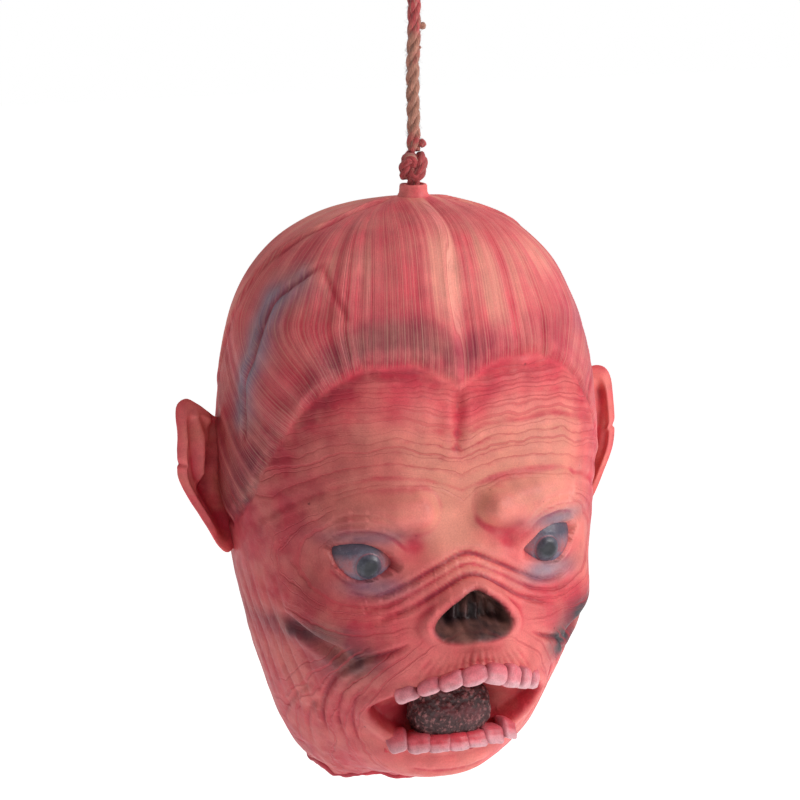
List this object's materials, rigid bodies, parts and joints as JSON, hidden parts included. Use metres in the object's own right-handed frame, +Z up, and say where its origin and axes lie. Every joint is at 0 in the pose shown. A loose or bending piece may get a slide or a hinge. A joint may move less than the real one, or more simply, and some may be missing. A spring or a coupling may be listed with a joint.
{
  "type": "hanging latex head",
  "caption": "Hollow latex monster head with moulded hair, ears, open mouth and ragged neck, hung by a knotted jute rope with a loop for a hook.",
  "frame": {"origin": "inside top of the hanging loop, where a hook carries the object", "axes": "+Z up along the rope; -Y is the way the face looks; +X is the head's own left"},
  "size_m": [0.2186, 0.1691, 0.4276],
  "materials": {
    "latex": "satin",
    "eye_paint": "satin",
    "teeth": "satin",
    "tongue": "satin",
    "jute": "matte"
  },
  "bodies": {
    "hanging_loop": {"hanging_loop": "jute"},
    "loop_knot": {"loop_knot": "jute"},
    "rope": {"rope": "jute", "stop_knot": "jute", "rope_neck": "jute", "inner_knot": "jute"},
    "head": {"latex_skin": "latex", "crown_collar": "latex", "ear_right": "latex", "ear_left": "latex", "eye_right": "eye_paint", "eye_left": "eye_paint", "upper_teeth": "teeth", "lower_teeth": "teeth", "tongue": "tongue"}
  },
  "joints": [
    {"name": "swing_fore_aft", "type": "hinge", "parent": "hanging_loop", "child": "loop_knot", "pos_m": [0, 0, -0.04315], "axis": [1, 0, 0], "range_deg": [-45, 45]},
    {"name": "swing_sideways", "type": "hinge", "parent": "loop_knot", "child": "rope", "pos_m": [0, 0, -0.05125], "axis": [0, 1, 0], "range_deg": [-45, 45]},
    {"name": "head_swivel", "type": "hinge", "parent": "rope", "child": "head", "pos_m": [0, 0, -0.15345], "axis": [0, 0, 1], "continuous": true}
  ]
}
